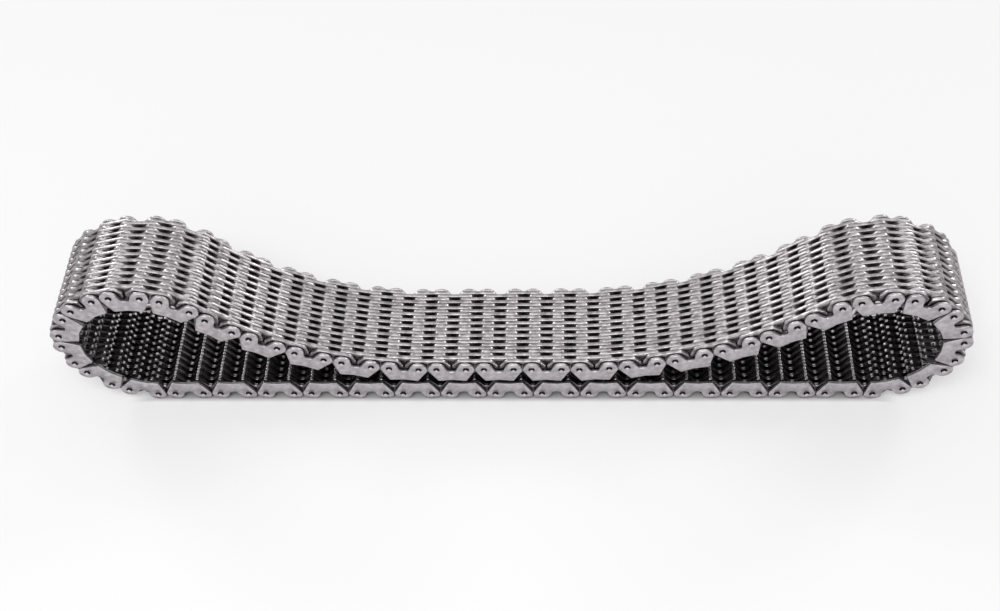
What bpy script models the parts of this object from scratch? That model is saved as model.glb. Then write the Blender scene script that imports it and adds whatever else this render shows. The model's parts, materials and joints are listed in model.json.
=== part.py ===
"""An endless inverted-tooth (silent) drive chain, set down slack on the backs of its plates.

Eighty-four links at a 9 mm pitch make one closed loop. Guide links and inner links take turns:
a guide link has a plain-backed guide plate at each end of its pins and a pack of toothed
plates inside each guide plate, and an inner link is the pack of toothed plates between them.
The bottom run lies flat. Both ends stand up in an arch, and the slack upper strand dips until
it nearly rests on the bottom run.

Metres, +Z up. +X runs along the bottom run, and Y is the width of the chain. The origin is at
the middle of the footprint, on the surface that the chain stands on.
"""

import math

import bmesh
import bpy
from mathutils import Matrix, Vector

# The chain's driving dimensions
PITCH = 0.009
LINKS = 84
GUIDE_PLATE = 0.00145
INNER_PACK = 0.0174
GUIDE_PACK = 0.007975
PIN_OVERHANG = 0.0006
RUNNING_GAP = 0.0001

# A link's outline, measured from its middle along the pin line and out towards the plate backs
BACK = 0.0036
BACK_HALF_LENGTH = 0.0058
HALF_LENGTH = 0.00885
TOE_DEPTH = 0.008
TOE_NEAR = 0.0041
TOE_FAR = 0.0049
CROTCH_DEPTH = 0.0027

# A guide plate has two round ears with a saddle between them, and a straight edge from toe to toe
EAR_HEIGHT = 0.0033
EAR_NEAR = 0.0045
EAR_FAR = 0.0067
EAR_SIDE = 0.0080
EAR_SIDE_HEIGHT = 0.0022
SADDLE_DEPTH = 0.0014
GUIDE_TOE = 0.0053
GUIDE_TOE_DEPTH = 0.0074

# The right half of each outline, from the middle of the toothed side round to the back
PACK_HALF = [
    (0, CROTCH_DEPTH),
    (TOE_NEAR, TOE_DEPTH),
    (TOE_FAR, TOE_DEPTH),
    (HALF_LENGTH, 0),
    (BACK_HALF_LENGTH, -BACK),
]
GUIDE_HALF = [
    (GUIDE_TOE, GUIDE_TOE_DEPTH),
    (HALF_LENGTH, 0),
    (EAR_SIDE, -EAR_SIDE_HEIGHT),
    (EAR_FAR, -EAR_HEIGHT),
    (EAR_NEAR, -EAR_HEIGHT),
    (0, SADDLE_DEPTH),
]

# The long pins of a guide link stand just outside its joints
PIN_RADIUS = 0.0009
PIN_PLACE = 0.00555
PIN_SIDES = 6
SLOT_HALF_LENGTH = 0.0012
SLOT_HALF_HEIGHT = 0.0014
OPEN_SLOT_HALF_LENGTH = 0.0019
OPEN_SLOT_HALF_HEIGHT = 0.0017
OPEN_END_CUT = 0.0004

# Where each side turns, counted in joints from the middle of the bottom run. The arch turns
# evenly up to the joint before its last, which eases it into the dip.
LAST_FLAT_LINK = 15
ARCH_LAST = {"R": 28, "L": 29}
DIP = (30, 39)
TOP_LINK = LINKS // 2
STRAND_GAP = 0.01655

# How far to +X the middle links of the bottom run and of the upper strand lie from the origin
BOTTOM_SHIFT = 0.0008
TOP_SHIFT = -0.0028
SIGN = {"R": 1, "L": -1}

# The bottom run is made in strips of this many guide links, with a gap between strips
MIDDLE_STRIP_GUIDES = 3
SIDE_STRIP_GUIDES = 2
STRIP_GAP = 0.0003
END_STRIP_CUT = 0.0005

WIDTH = INNER_PACK + 2 * (GUIDE_PACK + GUIDE_PLATE)
PIN_LINE = BACK


def clear_scene():
    for obj in list(bpy.data.objects):
        bpy.data.objects.remove(obj)


def collection_named(name):
    group = bpy.data.collections.new(name)
    bpy.context.scene.collection.children.link(group)
    return group


def steel(name, colour, roughness):
    material = bpy.data.materials.new(name)
    material.use_nodes = True
    shader = material.node_tree.nodes["Principled BSDF"]
    shader.inputs["Base Color"].default_value = (*colour, 1)
    shader.inputs["Metallic"].default_value = 1
    shader.inputs["Roughness"].default_value = roughness
    return material


# --- The lie of the chain ---


def bends_of(side, arch, dip, ease):
    """The turn at each joint of one side, where a positive turn curls inward."""
    bends = dict.fromkeys(range(1, TOP_LINK + 1), 0.0)
    for joint in range(LAST_FLAT_LINK + 1, ARCH_LAST[side]):
        bends[joint] = arch
    for joint in range(DIP[0], DIP[1] + 1):
        bends[joint] = dip
    bends[ARCH_LAST[side]] = ease
    return bends


def walk(side, bends):
    """Each joint's place and the heading of the link after it, and where the top link's middle is.

    The left side is walked as its own mirror image, so both sides run towards +X.
    """
    place = Vector((PITCH / 2 + SIGN[side] * BOTTOM_SHIFT, 0))
    heading = 0.0
    joints = {}
    for joint in range(1, TOP_LINK + 1):
        heading += bends[joint]
        joints[joint] = (place.copy(), heading)
        step = PITCH if joint < TOP_LINK else PITCH / 2
        place += step * Vector((math.cos(heading), math.sin(heading)))
    return joints, place, heading


def closing_error(side, turns):
    """How far one side misses the top link's middle, the strand gap and a level top link."""
    _, place, heading = walk(side, bends_of(side, *turns))
    miss = place.x - SIGN[side] * TOP_SHIFT
    return Vector((miss, place.y - STRAND_GAP, PITCH * (heading - math.pi)))


def lie_of_side(side):
    """Solves the three turns that bring one side to the top link, by Newton's method."""
    turns = Vector((math.radians(17), math.radians(-4), math.radians(10)))
    nudge = 1e-6
    for _ in range(50):
        error = closing_error(side, turns)
        if error.length < 1e-9:
            break
        columns = []
        for axis in range(3):
            moved = turns.copy()
            moved[axis] += nudge
            columns.append((closing_error(side, moved) - error) / nudge)
        turns -= Matrix(columns).transposed().inverted() @ error
    return walk(side, bends_of(side, *turns))[0]


# --- Shapes ---


def mirrored(half):
    """A closed outline from its right half. A point on the middle line is used once."""
    left = [(-x, z) for x, z in reversed(half) if x > 0]
    return half + left


def placed(half, middle, front_cut=0.0):
    """A link's outline round its middle, with its front end cut back by a little or nothing."""
    front = HALF_LENGTH - front_cut
    return [(middle + min(x, front), z) for x, z in mirrored(half)]


def notched_edge(start, end):
    """The toothed edge of the bottom run from start to end, with a notch at each link's middle."""
    slope = (TOE_DEPTH - CROTCH_DEPTH) / TOE_NEAR
    points = [(start, CROTCH_DEPTH + slope * abs(start - PITCH * round(start / PITCH)))]
    for link in range(math.ceil(start / PITCH), math.ceil(end / PITCH)):
        notch = link * PITCH
        if notch - TOE_NEAR > start:
            points.append((notch - TOE_NEAR, TOE_DEPTH))
        points.append((notch, CROTCH_DEPTH))
        if notch + TOE_NEAR < end:
            points.append((notch + TOE_NEAR, TOE_DEPTH))
    points.append((end, CROTCH_DEPTH + slope * abs(end - PITCH * round(end / PITCH))))
    return points


def rack_outline(start, end):
    """The joined toothed plates of the bottom run."""
    return [(start, -BACK), *notched_edge(start, end), (end, -BACK)]


def end_rack_outline(start, last):
    """The same, ending in the front half of an inner link whose middle is at last."""
    front = [(last + x, z) for x, z in PACK_HALF[1:]]
    return [(start, -BACK), *notched_edge(start, last), *front]


def object_from(mesh, name):
    obj = bpy.data.objects.new(name, mesh)
    bpy.context.scene.collection.objects.link(obj)
    return obj


def extruded(name, outline, low, high):
    """A flat outline in X and Z, filled and given a thickness from low to high along Y."""
    curve = bpy.data.curves.new(name, "CURVE")
    curve.dimensions = "2D"
    curve.fill_mode = "BOTH"
    curve.extrude = (high - low) / 2
    spline = curve.splines.new("POLY")
    spline.points.add(len(outline) - 1)
    for point, (x, z) in zip(spline.points, outline):
        point.co = (x, z, 0, 1)
    spline.use_cyclic_u = True
    flat = object_from(curve, name)
    upright = Matrix.Rotation(math.pi / 2, 4, "X")
    flat.matrix_world = Matrix.Translation((0, (low + high) / 2, 0)) @ upright
    bpy.context.view_layer.update()
    mesh = mesh_of(flat)
    mesh.transform(flat.matrix_world)
    bpy.data.objects.remove(flat)
    weld(mesh)
    return object_from(mesh, name)


def mesh_of(obj):
    graph = bpy.context.evaluated_depsgraph_get()
    return bpy.data.meshes.new_from_object(obj.evaluated_get(graph))


def weld(mesh):
    bm = bmesh.new()
    bm.from_mesh(mesh)
    bmesh.ops.remove_doubles(bm, verts=bm.verts, dist=1e-6)
    bmesh.ops.recalc_face_normals(bm, faces=bm.faces)
    bm.to_mesh(mesh)
    bm.free()


def pin(name, x, half_length):
    """A long pin along Y, with a flat side up."""
    mesh = bpy.data.meshes.new(name)
    bm = bmesh.new()
    lie_down = Matrix.Translation((x, 0, 0)) @ Matrix.Rotation(math.pi / 2, 4, "X")
    bmesh.ops.create_cone(
        bm,
        cap_ends=True,
        segments=PIN_SIDES,
        radius1=PIN_RADIUS,
        radius2=PIN_RADIUS,
        depth=2 * half_length,
        matrix=lie_down,
    )
    bm.to_mesh(mesh)
    bm.free()
    return object_from(mesh, name)


def box(name, low, high):
    mesh = bpy.data.meshes.new(name)
    bm = bmesh.new()
    bmesh.ops.create_cube(bm, size=1)
    size = Vector(high) - Vector(low)
    bmesh.ops.scale(bm, vec=size, verts=bm.verts)
    bmesh.ops.translate(bm, vec=(Vector(high) + Vector(low)) / 2, verts=bm.verts)
    bm.to_mesh(mesh)
    bm.free()
    return object_from(mesh, name)


def combined(name, first, others, operation):
    """One mesh from the first object and the others, which are used up."""
    for other in others:
        modifier = first.modifiers.new("join", "BOOLEAN")
        modifier.operation = operation
        modifier.object = other
    bpy.context.view_layer.update()
    mesh = mesh_of(first)
    mesh.name = name
    for used in (first, *others):
        bpy.data.objects.remove(used)
    return mesh


def guide_frame(middle, front_cut=0.0):
    """The two guide plates and the two pins that hold them, as loose objects."""
    face = WIDTH / 2
    inner = face - GUIDE_PLATE
    outline = placed(GUIDE_HALF, middle, front_cut)
    return [
        pin("pin_back", middle - PIN_PLACE, face + PIN_OVERHANG),
        pin("pin_front", middle + PIN_PLACE, face + PIN_OVERHANG),
        extruded("near_guide", outline, -face, -inner),
        extruded("far_guide", outline, inner, face),
    ]


def guide_link_mesh(name, front_cut=0.0):
    """A guide link whose rear joint is at the origin."""
    middle = PITCH / 2
    inner = INNER_PACK / 2 + RUNNING_GAP / 2
    outer = WIDTH / 2 - GUIDE_PLATE / 2
    outline = placed(PACK_HALF, middle, front_cut)
    near = extruded("near_pack", outline, -outer, -inner)
    far = extruded("far_pack", outline, inner, outer)
    return combined(name, near, [*guide_frame(middle, front_cut), far], "UNION")


def slot(x, half_length, half_height):
    reach = INNER_PACK
    return box("slot", (x - half_length, -reach, -half_height), (x + half_length, reach, half_height))


def slot_place(side):
    """Where the neighbouring guide link's pin runs, from the middle of an inner link."""
    return side * (PITCH - PIN_PLACE)


def inner_link_mesh(name, front_slot, front_cut=0.0):
    """An inner link whose rear joint is at the origin, with its front slot's half sizes given."""
    middle = PITCH / 2
    half_width = INNER_PACK / 2 - RUNNING_GAP / 2
    pack = extruded("pack", placed(PACK_HALF, middle, front_cut), -half_width, half_width)
    rear = slot(middle + slot_place(-1), SLOT_HALF_LENGTH, SLOT_HALF_HEIGHT)
    front = slot(middle + slot_place(1), *front_slot)
    return combined(name, pack, [rear, front], "DIFFERENCE")


def rack(outline):
    half_width = WIDTH / 2 - GUIDE_PLATE / 2
    return extruded("rack", outline, -half_width, half_width)


def frames_of(first_guide, last_guide):
    frames = []
    for link in range(first_guide, last_guide + 1, 2):
        frames += guide_frame(link * PITCH)
    return frames


def strip_mesh(name, first_guide, last_guide):
    """A strip of the bottom run, cut at the middle of the inner link past each end."""
    start = (first_guide - 1) * PITCH + STRIP_GAP / 2
    end = (last_guide + 1) * PITCH - STRIP_GAP / 2
    return combined(name, rack(rack_outline(start, end)), frames_of(first_guide, last_guide), "UNION")


def end_strip_mesh(name, first_guide):
    """The last strip, which ends in the inner link that the first moving link turns on."""
    start = (first_guide - 1) * PITCH + STRIP_GAP / 2
    last = LAST_FLAT_LINK * PITCH
    frames = frames_of(first_guide, LAST_FLAT_LINK - 1)
    strip = combined("strip", rack(end_rack_outline(start, last)), frames, "UNION")
    half_width = INNER_PACK / 2 - RUNNING_GAP / 2
    cut_from = last - END_STRIP_CUT
    cut_to = last + 2 * PITCH
    cutters = [
        box("near_cut", (cut_from, -WIDTH, -PITCH), (cut_to, -half_width, PITCH)),
        box("far_cut", (cut_from, half_width, -PITCH), (cut_to, WIDTH, PITCH)),
        slot(last + slot_place(1), SLOT_HALF_LENGTH, SLOT_HALF_HEIGHT),
    ]
    return combined(name, object_from(strip, name), cutters, "DIFFERENCE")


# --- The assembly ---


def show(mesh, name, group, material, matrix):
    obj = bpy.data.objects.new(name, mesh)
    group.objects.link(obj)
    obj.matrix_world = matrix
    if not mesh.materials:
        mesh.materials.append(material)
    return obj


def on_side(side, x, z):
    """Where a place walked along one side stands. The left side is turned half a turn about Z."""
    half_turn = Matrix.Rotation(math.pi if side == "L" else 0, 4, "Z")
    return half_turn @ Matrix.Translation((x, 0, z + PIN_LINE))


def add_bottom_run(group, material):
    flat = {side: on_side(side, SIGN[side] * BOTTOM_SHIFT, 0) for side in "RL"}
    reach = MIDDLE_STRIP_GUIDES - 1
    middle = strip_mesh("strip_middle", -reach, reach)
    show(middle, "bottom_run_middle", group, material, flat["R"])
    first = reach + 2
    step = 2 * SIDE_STRIP_GUIDES
    number = 1
    while first + step < LAST_FLAT_LINK:
        mesh = strip_mesh(f"strip_{number}", first, first + step - 2)
        for side in "RL":
            show(mesh, f"bottom_run_{side}{number}", group, material, flat[side])
        first += step
        number += 1
    mesh = end_strip_mesh("strip_end", first)
    for side in "RL":
        show(mesh, f"bottom_run_{side}_end", group, material, flat[side])


def add_moving_links(group, guide_steel, inner_steel):
    """The links of both sides. The last of each side meet at the open pivot, with room to spare."""
    slot_size = (SLOT_HALF_LENGTH, SLOT_HALF_HEIGHT)
    open_slot_size = (OPEN_SLOT_HALF_LENGTH, OPEN_SLOT_HALF_HEIGHT)
    guide = guide_link_mesh("guide_link")
    inner = inner_link_mesh("inner_link", slot_size)
    last_guide = guide_link_mesh("last_guide_link", OPEN_END_CUT)
    last_inner = inner_link_mesh("last_inner_link", open_slot_size, OPEN_END_CUT)
    last_link = {"R": TOP_LINK, "L": TOP_LINK - 1}
    for side in "RL":
        joints = lie_of_side(side)
        for link in range(LAST_FLAT_LINK + 1, last_link[side] + 1):
            place, heading = joints[link]
            matrix = on_side(side, place.x, place.y) @ Matrix.Rotation(-heading, 4, "Y")
            last = link == last_link[side]
            if link % 2 == 0:
                mesh = last_guide if last else guide
                show(mesh, f"guide_link_{side}{link}", group, guide_steel, matrix)
            else:
                mesh = last_inner if last else inner
                show(mesh, f"inner_link_{side}{link}", group, inner_steel, matrix)


def main():
    clear_scene()
    group = collection_named("silent_chain")
    guide_steel = steel("guide_steel", (0.45, 0.43, 0.42), 0.4)
    inner_steel = steel("inner_steel", (0.52, 0.50, 0.50), 0.3)
    add_bottom_run(group, guide_steel)
    add_moving_links(group, guide_steel, inner_steel)


main()
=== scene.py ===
"""The looks of an endless inverted-tooth (silent) drive chain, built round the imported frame.

Each link of the chain gets its laced plates and its pins. A guide link has two guide plates, two
long pins and eleven toothed plates, and an inner link has twelve toothed plates and two short
rocker pins. Lengths are in millimetres in the chain's constants, and in metres in those of the
materials, camera, floor and lamps. The camera's lens and sensor are in millimetres too.
"""

import json
import math

import bmesh
import bpy
from mathutils import Matrix, Vector


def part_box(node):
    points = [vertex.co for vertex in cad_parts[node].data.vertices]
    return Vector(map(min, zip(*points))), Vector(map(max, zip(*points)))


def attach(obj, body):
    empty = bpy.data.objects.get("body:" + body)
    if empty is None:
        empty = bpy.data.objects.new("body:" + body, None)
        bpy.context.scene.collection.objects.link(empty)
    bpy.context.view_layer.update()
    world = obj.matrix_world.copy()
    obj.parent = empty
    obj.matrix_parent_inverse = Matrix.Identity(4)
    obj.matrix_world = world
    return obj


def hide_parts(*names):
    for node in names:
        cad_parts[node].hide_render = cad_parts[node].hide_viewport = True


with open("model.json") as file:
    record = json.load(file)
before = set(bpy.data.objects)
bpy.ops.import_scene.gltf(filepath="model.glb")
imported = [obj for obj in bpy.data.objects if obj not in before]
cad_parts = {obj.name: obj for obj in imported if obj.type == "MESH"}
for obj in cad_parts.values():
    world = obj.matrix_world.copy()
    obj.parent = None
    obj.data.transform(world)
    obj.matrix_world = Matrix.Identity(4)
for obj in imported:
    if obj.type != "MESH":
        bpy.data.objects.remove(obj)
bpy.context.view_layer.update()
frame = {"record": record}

MM = 0.001
PITCH = 9.0

# The first joint that turns on each side. The links between the two are the bottom run, one body
FIRST_JOINT = 16

# Lacing across the width: toothed plates of both kinds take turns between the guide plates
LAYER = 1.45
PLATE = 1.38
INNER_LAYERS = 23
GUIDE_PLATE = 1.2
GUIDE_FACE_AT = 18.125
GUIDE_PLATE_AT = GUIDE_FACE_AT - GUIDE_PLATE / 2

# Plate edges are rounded by this much
EDGE = 0.27
GUIDE_EDGE = 0.3

# Pins and the holes that they stand in. A link's own pins stand OWN_PIN from its middle, and its
# neighbours' pins OTHER_PIN
PIN_RADIUS = 0.86
PIN_HOLE_RADIUS = 1.15
LONG_PIN_HALF = 18.85
ROCKER_HALF = 16.4
OWN_PIN = 5.6
OTHER_PIN = 3.4
PIN_CROWN = 0.15
CROWN_STEPS = 3
APERTURE_HALF_HEIGHT = 1.3
APERTURE_CORNER = 0.9
ROLLING_ROOM = 0.2

# Half outlines as (along the link, outward, corner radius), from the back round to the toes
GUIDE_HALF = [
    (1.4, -1.5, 1.35),
    (3.1, 3.3, 3.2),
    (7.4, 3.3, 3.2),
    (9.3, 0.2, 3.2),
    (5.4, -7.45, 0.45),
    (0.0, -6.75, 0.0),
]
TOOTHED_HALF = [
    (6.35, 3.6, 2.0),
    (8.95, 0.1, 1.2),
    (4.95, -8.0, 0.5),
    (4.0, -8.0, 0.45),
    (0.0, -2.7, 1.1),
]

# Painted light and shade by how far a surface faces the toes, from -1 at the back to 1. A toothed
# plate's back keeps about its own tone, its shoulders carry a painted highlight and its toes and
# crotch painted glints, and its flanks and flat faces are dark with oil and with painted shade from
# the plates round them. A guide plate's rim has a painted highlight towards the back and painted
# shade towards the toe
TOOTHED_OIL_AND_PAINTED_LIGHT = [(-0.98, 0.97), (-0.85, 1.35), (-0.45, 1.35), (-0.1, 0.32), (0.7, 0.28), (0.86, 0.95)]
GUIDE_RIM_PAINTED_LIGHT = [(-0.6, 1.3), (-0.15, 1.0), (0.3, 1.0), (0.8, 0.7)]

# Faces round a corner, and round a hole or a pin
CORNER_STEPS = 4
HOLE_STEPS = 20

# A corner's arc takes up at most this share of the shorter side beside it
ARC_SHARE = 0.48

# Edges that turn by more than this stay sharp, and points nearer than this are merged
SHARP_DEGREES = 40
MERGE_DISTANCE = 0.002


# --- Outlines and plates ---


def mirrored(half):
    """A closed loop of corners from its right half. A corner on the middle line is used once."""
    left = [(-x, z, r) for x, z, r in reversed(half) if x > 0]
    return half + left


def rounded(corners):
    """The outline through the corners, with each one rounded by an arc of its own radius."""
    outline = []
    count = len(corners)
    for i, (x, z, radius) in enumerate(corners):
        here = Vector((x, z))
        before = Vector(corners[i - 1][:2]) - here
        after = Vector(corners[(i + 1) % count][:2]) - here
        if radius == 0:
            outline.append(here)
            continue
        half_angle = before.angle(after) / 2
        reach = radius / math.tan(half_angle)
        reach = min(reach, ARC_SHARE * before.length, ARC_SHARE * after.length)
        radius = reach * math.tan(half_angle)
        start = here + before.normalized() * reach
        end = here + after.normalized() * reach
        bisector = (before.normalized() + after.normalized()).normalized()
        centre = here + bisector * radius / math.sin(half_angle)
        sweep = (start - centre).angle_signed(end - centre)
        for step in range(CORNER_STEPS + 1):
            turn = Matrix.Rotation(-sweep * step / CORNER_STEPS, 2)
            outline.append(centre + turn @ (start - centre))
    return outline


def circle(x, radius):
    """A round hole's outline about a place on the pin line."""
    turns = (2 * math.pi * i / HOLE_STEPS for i in range(HOLE_STEPS))
    return [Vector((x + radius * math.cos(a), radius * math.sin(a))) for a in turns]


def aperture(side):
    """The long hole at one joint, which holds the link's own pin and lets the other one roll."""
    near = OTHER_PIN - PIN_RADIUS - ROLLING_ROOM
    far = OWN_PIN + PIN_RADIUS
    high = APERTURE_HALF_HEIGHT
    corners = [(near, high), (far, high), (far, -high), (near, -high)]
    outline = rounded([(x, z, APERTURE_CORNER) for x, z in corners])
    return [Vector((side * point.x, point.y)) for point in outline]


def plate_mesh(name, loops, thickness, edge):
    """A flat plate from an outline and its holes, with rounded edges, upright in X and Z."""
    curve = bpy.data.curves.new(name, "CURVE")
    curve.dimensions = "2D"
    curve.fill_mode = "BOTH"
    curve.extrude = (thickness / 2 - edge) * MM
    curve.bevel_depth = edge * MM
    curve.bevel_resolution = 1
    curve.offset = -edge * MM
    for loop in loops:
        spline = curve.splines.new("POLY")
        spline.points.add(len(loop) - 1)
        for point, place in zip(spline.points, loop):
            point.co = (place.x * MM, place.y * MM, 0, 1)
        spline.use_cyclic_u = True
    obj = bpy.data.objects.new(name, curve)
    bpy.context.scene.collection.objects.link(obj)
    bpy.context.view_layer.update()
    graph = bpy.context.evaluated_depsgraph_get()
    mesh = bpy.data.meshes.new_from_object(obj.evaluated_get(graph))
    bpy.data.objects.remove(obj)
    # A plate's back faces outward, which is down along a link's own Z
    mesh.transform(Matrix.Rotation(-math.pi / 2, 4, "X"))
    bm = bmesh.new()
    bm.from_mesh(mesh)
    bmesh.ops.remove_doubles(bm, verts=bm.verts, dist=MERGE_DISTANCE * MM)
    bmesh.ops.recalc_face_normals(bm, faces=bm.faces)
    bm.to_mesh(mesh)
    bm.free()
    return mesh


def stacked(name, plate, places):
    """One mesh with a copy of the plate at each place along Y."""
    bm = bmesh.new()
    for y in places:
        moved = plate.copy()
        moved.transform(Matrix.Translation((0, y * MM, 0)))
        bm.from_mesh(moved)
        bpy.data.meshes.remove(moved)
    mesh = bpy.data.meshes.new(name)
    bm.to_mesh(mesh)
    bm.free()
    return mesh


def pin_profile(half):
    """A pin's outline round its end, as (along the pin, radius)."""
    points = [(half - PIN_CROWN, PIN_RADIUS)]
    for step in range(1, CROWN_STEPS + 1):
        turn = math.pi / 2 * step / CROWN_STEPS
        shrink = PIN_CROWN * (1 - math.cos(turn))
        points.append((half - PIN_CROWN + PIN_CROWN * math.sin(turn), PIN_RADIUS - shrink))
    return points


def add_pin(bm, x, half):
    """A turned pin along Y with rounded ends. The ends take the second material."""
    right = pin_profile(half)
    whole = [(-y, r) for y, r in reversed(right)] + right
    rings = []
    for y, radius in whole:
        ring = []
        for i in range(HOLE_STEPS):
            turn = 2 * math.pi * i / HOLE_STEPS
            place = (x + radius * math.cos(turn), y, radius * math.sin(turn))
            ring.append(bm.verts.new(Vector(place) * MM))
        rings.append(ring)
    longest = len(rings) // 2 - 1
    for k, (one, two) in enumerate(zip(rings, rings[1:])):
        for i in range(HOLE_STEPS):
            j = (i + 1) % HOLE_STEPS
            face = bm.faces.new((one[i], one[j], two[j], two[i]))
            face.material_index = 0 if k == longest else 1
    for ring in (rings[0], rings[-1]):
        cap = bm.faces.new(ring)
        cap.material_index = 1


def pins_mesh(name, half):
    """A link's own two pins."""
    bm = bmesh.new()
    for side in (-1, 1):
        add_pin(bm, side * OWN_PIN, half)
    bmesh.ops.recalc_face_normals(bm, faces=bm.faces)
    mesh = bpy.data.meshes.new(name)
    bm.to_mesh(mesh)
    bm.free()
    return mesh


def smooth(mesh):
    mesh.shade_smooth()
    mesh.set_sharp_from_angle(angle=math.radians(SHARP_DEGREES))


# --- Materials ---

# Noise over a link's own coordinates: each one's scale, and the noise values between which its
# first shade blends into its second
MOTTLE_SCALE = 420
MOTTLE_FROM, MOTTLE_TO = 0.35, 0.68
GRAIN_SCALE = 2600
GRAIN_SHADES = [(0.3, 0.84), (0.7, 1.0)]
DULL_SCALE = 900
DULL_FROM, DULL_TO = 0.3, 0.7
BUMP_SCALE = 1900
BUMP_STRENGTH = 0.25
BUMP_DEPTH = 0.00004

# How noise is stretched along X, Y and Z. A cut edge's grain is drawn out along the link
EVEN = (1, 1, 1)
CUT = (0.25, 1, 1)

# Oiled steel reflects less than clean steel where it is seen edge on
EDGE_ON_TINT = (0.36, 0.33, 0.35, 1)


def new_material(name):
    material = bpy.data.materials.new(name)
    material.use_nodes = True
    tree = material.node_tree
    return material, tree, tree.nodes["Principled BSDF"]


def noise(tree, where, scale, detail, stretch=EVEN):
    mapping = tree.nodes.new("ShaderNodeMapping")
    mapping.inputs["Scale"].default_value = stretch
    tree.links.new(where, mapping.inputs["Vector"])
    texture = tree.nodes.new("ShaderNodeTexNoise")
    texture.inputs["Scale"].default_value = scale
    texture.inputs["Detail"].default_value = detail
    tree.links.new(mapping.outputs["Vector"], texture.inputs["Vector"])
    return texture.outputs["Fac"]


def ramp(tree, factor, stops):
    node = tree.nodes.new("ShaderNodeValToRGB")
    elements = node.color_ramp.elements
    while len(elements) < len(stops):
        elements.new(0.5)
    for element, (place, value) in zip(elements, stops):
        element.position = place
        colour = value if isinstance(value, tuple) else (value, value, value)
        element.color = (*colour, 1)
    tree.links.new(factor, node.inputs["Fac"])
    return node.outputs["Color"]


def multiplied(tree, one, two):
    node = tree.nodes.new("ShaderNodeMix")
    node.data_type = "RGBA"
    node.blend_type = "MULTIPLY"
    node.inputs["Factor"].default_value = 1
    tree.links.new(one, node.inputs["A"])
    tree.links.new(two, node.inputs["B"])
    return node.outputs["Result"]


def absolute(tree, value):
    node = tree.nodes.new("ShaderNodeMath")
    node.operation = "ABSOLUTE"
    tree.links.new(value, node.inputs[0])
    return node.outputs["Value"]


def axes(tree, coordinates):
    """The X, Y and Z of one of the Texture Coordinate node's outputs."""
    split = tree.nodes.new("ShaderNodeSeparateXYZ")
    where = tree.nodes.new("ShaderNodeTexCoord").outputs[coordinates]
    tree.links.new(where, split.inputs["Vector"])
    return split.outputs


def bumped(tree, shader, height):
    node = tree.nodes.new("ShaderNodeBump")
    node.inputs["Strength"].default_value = BUMP_STRENGTH
    node.inputs["Distance"].default_value = BUMP_DEPTH
    tree.links.new(height, node.inputs["Height"])
    tree.links.new(node.outputs["Normal"], shader.inputs["Normal"])


def painted_light_by_facing(tree, stops):
    """Painted light and shade by how far the surface faces along the link's own Z, towards its toes.
    """
    span = tree.nodes.new("ShaderNodeMapRange")
    span.inputs["From Min"].default_value = -1
    tree.links.new(axes(tree, "Normal")["Z"], span.inputs["Value"])
    return ramp(tree, span.outputs["Result"], [((facing + 1) / 2, value) for facing, value in stops])


def steel(name, dark, light, rough, metallic, stretch=EVEN, shade=None):
    """Blanked and tumbled steel: faint mottling, fine grain along the cut, and dull patches."""
    material, tree, shader = new_material(name)
    where = tree.nodes.new("ShaderNodeTexCoord").outputs["Object"]
    mottling = [(MOTTLE_FROM, dark), (MOTTLE_TO, light)]
    mottle = ramp(tree, noise(tree, where, MOTTLE_SCALE, detail=4), mottling)
    grain = ramp(tree, noise(tree, where, GRAIN_SCALE, detail=2, stretch=stretch), GRAIN_SHADES)
    colour = multiplied(tree, mottle, grain)
    # Where given, painted highlights and painted shade by which way the surface faces
    if shade:
        colour = multiplied(tree, colour, painted_light_by_facing(tree, shade))
    tree.links.new(colour, shader.inputs["Base Color"])
    dulling = [(DULL_FROM, rough[0]), (DULL_TO, rough[1])]
    dull = ramp(tree, noise(tree, where, DULL_SCALE, detail=3, stretch=stretch), dulling)
    tree.links.new(dull, shader.inputs["Roughness"])
    shader.inputs["Metallic"].default_value = metallic
    shader.inputs["Specular Tint"].default_value = EDGE_ON_TINT
    bumped(tree, shader, noise(tree, where, BUMP_SCALE, detail=3, stretch=stretch))
    return material


def make_materials():
    return {
        "guide": steel(
            "guide_steel",
            dark=(0.42, 0.39, 0.41),
            light=(0.64, 0.605, 0.63),
            rough=(0.32, 0.45),
            metallic=0.95,
            # painted highlight on the rims towards the back, painted shade towards the toe
            shade=GUIDE_RIM_PAINTED_LIGHT,
        ),
        "inner": steel(
            "inner_steel",
            dark=(0.4, 0.375, 0.385),
            light=(0.84, 0.805, 0.82),
            rough=(0.25, 0.4),
            metallic=1.0,
            stretch=CUT,
            # painted highlights, and oil with painted shade, on the toothed plates' edges and faces
            shade=TOOTHED_OIL_AND_PAINTED_LIGHT,
        ),
        "pin_side": steel(
            "pin_side_steel",
            dark=(0.05, 0.048, 0.05),
            light=(0.1, 0.095, 0.1),
            rough=(0.3, 0.45),
            metallic=1.0,
        ),
        "pin_end": steel(
            "pin_end_steel",
            dark=(0.58, 0.56, 0.57),
            light=(0.74, 0.72, 0.73),
            rough=(0.3, 0.42),
            metallic=0.9,
        ),
    }


# --- Where the links are ---


def joint_places():
    """Each joint's place in X and Z by its name."""
    places = {}
    for joint in frame["record"]["behaviour"]["joints"]:
        x, _, z = joint["pos_m"]
        places[joint["name"]] = Vector((x, z))
    return places


def link_matrix(start, end, side):
    """The link's own frame at its middle: X along the link, Z towards its teeth."""
    along = (end - start).normalized()
    middle = (start + end) / 2
    toothward = Vector((-along.y, along.x)) * side
    matrix = Matrix.Identity(4)
    matrix.col[0][:3] = (along.x, 0, along.y)
    matrix.col[1][:3] = (0, side, 0)
    matrix.col[2][:3] = (toothward.x, 0, toothward.y)
    matrix.col[3][:3] = (middle.x, 0, middle.y)
    return matrix


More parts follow.
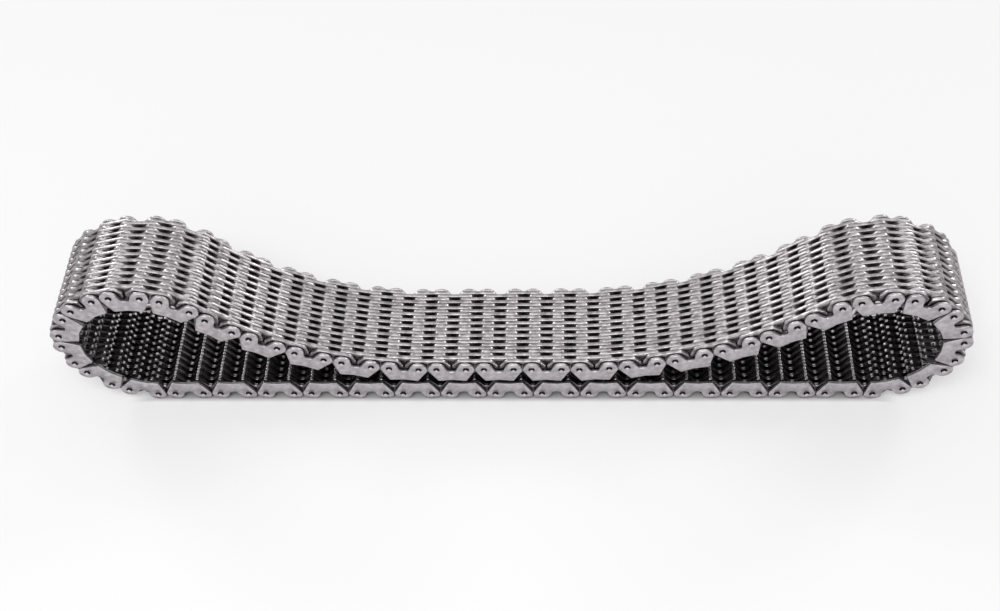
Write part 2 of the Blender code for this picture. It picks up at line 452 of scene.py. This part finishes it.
def moving_links(places):
    """(name, number, body, matrix) of each link that turns on a joint of its own.

    The last link of the right side lies level, and its free end is the left side's end too.
    """
    links = []
    meeting = places["joint_R42"] - Vector((PITCH * MM, 0))
    for letter, side in (("R", 1), ("L", -1)):
        number = FIRST_JOINT
        while f"joint_{letter}{number}" in places:
            start = places[f"joint_{letter}{number}"]
            end = places.get(f"joint_{letter}{number + 1}", meeting)
            kind = "guide" if number % 2 == 0 else "inner"
            body = f"{kind}_link_{letter}{number}"
            links.append((f"{letter}{number}", number, body, link_matrix(start, end, side)))
            number += 1
    return links


def flat_links(places):
    """The same for the links of the bottom run, which lie between the first joints."""
    first = places[f"joint_L{FIRST_JOINT}"]
    last = places[f"joint_R{FIRST_JOINT}"]
    reach = round((last - first).length / (PITCH * MM)) // 2
    links = []
    for number in range(-reach, reach + 1):
        middle = (first + last) / 2 + Vector((number * PITCH * MM, 0))
        half = Vector((PITCH * MM / 2, 0))
        name = f"B{number}" if number >= 0 else f"Bm{-number}"
        links.append((name, number, "bottom_run", link_matrix(middle - half, middle + half, 1)))
    return links


def strip_at(x):
    """The bottom run's CAD node that lies nearest to the link at x."""

    def gap(node):
        low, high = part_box(node)
        return max(low[0] - x, x - high[0])

    return min(frame["record"]["behaviour"]["bodies"]["bottom_run"], key=gap)


# --- The pieces ---


def add_piece(name, mesh, matrix, body):
    piece = bpy.data.objects.new(name, mesh)
    bpy.context.scene.collection.objects.link(piece)
    piece.matrix_world = matrix
    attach(piece, body)
    return piece


def make_meshes(materials):
    pin_holes = [circle(side * OWN_PIN, PIN_HOLE_RADIUS) for side in (-1, 1)]
    guide_outline = rounded(mirrored(GUIDE_HALF))
    guide_plate = plate_mesh("guide_plate", [guide_outline, *pin_holes], GUIDE_PLATE, GUIDE_EDGE)
    toothed_outline = rounded(mirrored(TOOTHED_HALF))
    toothed_loops = [toothed_outline, aperture(-1), aperture(1)]
    toothed_plate = plate_mesh("toothed_plate", toothed_loops, PLATE, EDGE)
    middle = (INNER_LAYERS - 1) / 2
    layers = [(i - middle) * LAYER for i in range(INNER_LAYERS)]
    meshes = {
        "guide_plates": stacked("guide_plates", guide_plate, (-GUIDE_PLATE_AT, GUIDE_PLATE_AT)),
        "guide_pack": stacked("guide_pack", toothed_plate, layers[1::2]),
        "inner_pack": stacked("inner_pack", toothed_plate, layers[0::2]),
        "long_pins": pins_mesh("long_pins", LONG_PIN_HALF),
        "rocker_pins": pins_mesh("rocker_pins", ROCKER_HALF),
    }
    for name, mesh in meshes.items():
        smooth(mesh)
        if name == "guide_plates":
            mesh.materials.append(materials["guide"])
        elif name.endswith("pack"):
            mesh.materials.append(materials["inner"])
        else:
            mesh.materials.append(materials["pin_side"])
            mesh.materials.append(materials["pin_end"])
    return meshes


def add_link(link, meshes):
    name, number, body, matrix = link
    if number % 2 == 0:
        plates = add_piece(f"guide_plates_{name}", meshes["guide_plates"], matrix, body)
        add_piece(f"toothed_plates_{name}", meshes["guide_pack"], matrix, body)
        add_piece(f"long_pins_{name}", meshes["long_pins"], matrix, body)
    else:
        plates = add_piece(f"toothed_plates_{name}", meshes["inner_pack"], matrix, body)
        add_piece(f"rocker_pins_{name}", meshes["rocker_pins"], matrix, body)
    node = strip_at(matrix.translation.x) if body == "bottom_run" else body
    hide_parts(node)


# --- Camera, floor and lights ---

# The camera looks down by its elevation, is turned about the upright and rolled about its own
# line of sight, and stands at its distance from the place that it aims at
CAMERA_ELEVATION = math.radians(53.68)
CAMERA_TURN = math.radians(5.27)
CAMERA_ROLL = math.radians(4.48)
CAMERA_DISTANCE = 0.4541
CAMERA_LENS = 46.63
CAMERA_SENSOR = 36
CAMERA_CLIP = 0.01
CAMERA_AIM = (-0.00034, -0.018725, 0.06241)


def add_camera():
    heading = Vector((-math.sin(CAMERA_TURN), math.cos(CAMERA_TURN), 0))
    level = Vector((math.cos(CAMERA_TURN), math.sin(CAMERA_TURN), 0))
    up = math.sin(CAMERA_ELEVATION) * heading + math.cos(CAMERA_ELEVATION) * Vector((0, 0, 1))
    forward = math.cos(CAMERA_ELEVATION) * heading - math.sin(CAMERA_ELEVATION) * Vector((0, 0, 1))
    right = math.cos(CAMERA_ROLL) * level - math.sin(CAMERA_ROLL) * up
    top = math.sin(CAMERA_ROLL) * level + math.cos(CAMERA_ROLL) * up
    place = Vector(CAMERA_AIM) - CAMERA_DISTANCE * forward
    data = bpy.data.cameras.new("camera")
    data.lens = CAMERA_LENS
    data.sensor_width = CAMERA_SENSOR
    data.clip_start = CAMERA_CLIP
    camera = bpy.data.objects.new("camera", data)
    bpy.context.scene.collection.objects.link(camera)
    matrix = Matrix.Identity(4)
    matrix.col[0][:3] = right
    matrix.col[1][:3] = top
    matrix.col[2][:3] = -forward
    matrix.col[3][:3] = place
    camera.matrix_world = matrix
    bpy.context.scene.camera = camera


FLOOR_HALF = 3
FLOOR_ROUGHNESS = 0.7

# The floor is darker, and glows less, within the chain's footprint, as a painted shadow under the
# chain. The shades go by a place's share of the footprint's whole length or width from its middle,
# which is 0.5 at the footprint's edge
FOOTPRINT_HALF = {"X": 0.138, "Y": 0.0182}
FLOOR_TONE_WITH_PAINTED_SHADOW = [(0.48, 0.38), (0.54, 0.58)]
FLOOR_GLOW_WITH_PAINTED_SHADOW = [(0.48, 0.0), (0.54, 1.0)]
FLOOR_GLOW_STRENGTH = 0.28


def footprint_share(tree):
    """How far out a place on the floor is, as a share of the footprint's whole length or width."""
    split = axes(tree, "Object")
    furthest = tree.nodes.new("ShaderNodeMath")
    furthest.operation = "MAXIMUM"
    for i, (axis, half) in enumerate(FOOTPRINT_HALF.items()):
        share = tree.nodes.new("ShaderNodeMath")
        share.operation = "MULTIPLY"
        share.inputs[1].default_value = 0.5 / half
        tree.links.new(split[axis], share.inputs[0])
        tree.links.new(absolute(tree, share.outputs["Value"]), furthest.inputs[i])
    return furthest.outputs["Value"]


def add_floor():
    mesh = bpy.data.meshes.new("floor")
    bm = bmesh.new()
    bmesh.ops.create_grid(bm, x_segments=1, y_segments=1, size=FLOOR_HALF)
    bm.to_mesh(mesh)
    bm.free()
    floor = bpy.data.objects.new("floor", mesh)
    bpy.context.scene.collection.objects.link(floor)
    material, tree, shader = new_material("floor_white_with_painted_shadow")
    # The floor's tone and glow carry a painted shadow under the chain
    share = footprint_share(tree)
    tree.links.new(ramp(tree, share, FLOOR_TONE_WITH_PAINTED_SHADOW), shader.inputs["Base Color"])
    tree.links.new(ramp(tree, share, FLOOR_GLOW_WITH_PAINTED_SHADOW), shader.inputs["Emission Color"])
    shader.inputs["Emission Strength"].default_value = FLOOR_GLOW_STRENGTH
    shader.inputs["Roughness"].default_value = FLOOR_ROUGHNESS
    mesh.materials.append(material)


# Lamps as (name, place, size, power in watts), all aimed at LAMP_AIM
LAMPS = [
    ("key_softbox", (-0.1, -0.42, 0.95), (0.6, 0.4), 5.0),
    ("left_softbox", (-0.8, 0.75, 0.55), (0.3, 0.3), 1.6),
    ("right_softbox", (0.8, 0.75, 0.55), (0.3, 0.3), 1.6),
]
LAMP_AIM = (0, 0, 0.03)

# The tent is bright in front and overhead, and dim at its sides and low down behind the chain
TENT_BY_DEPTH = [(0.0, 0.95), (0.55, 0.8), (0.8, 0.45)]
TENT_BY_WIDTH = [(0.35, 1.0), (0.8, 0.55)]
TENT_STRENGTH = 0.95


def add_lamp(name, place, size, power):
    data = bpy.data.lights.new(name, "AREA")
    data.shape = "RECTANGLE"
    data.size, data.size_y = size
    data.energy = power
    lamp = bpy.data.objects.new(name, data)
    bpy.context.scene.collection.objects.link(lamp)
    lamp.location = place
    aim = Vector(LAMP_AIM) - Vector(place)
    lamp.rotation_euler = aim.to_track_quat("-Z", "Y").to_euler()


def add_light():
    world = bpy.data.worlds.new("studio")
    bpy.context.scene.world = world
    world.use_nodes = True
    tree = world.node_tree
    split = axes(tree, "Generated")
    depth = ramp(tree, split["Y"], TENT_BY_DEPTH)
    width = ramp(tree, absolute(tree, split["X"]), TENT_BY_WIDTH)
    background = tree.nodes["Background"]
    tree.links.new(multiplied(tree, depth, width), background.inputs["Color"])
    background.inputs["Strength"].default_value = TENT_STRENGTH
    for name, place, size, power in LAMPS:
        add_lamp(name, place, size, power)
    bpy.context.scene.view_settings.view_transform = "Standard"


def main():
    add_camera()
    add_floor()
    add_light()
    meshes = make_meshes(make_materials())
    places = joint_places()
    for link in moving_links(places) + flat_links(places):
        add_link(link, meshes)


main()
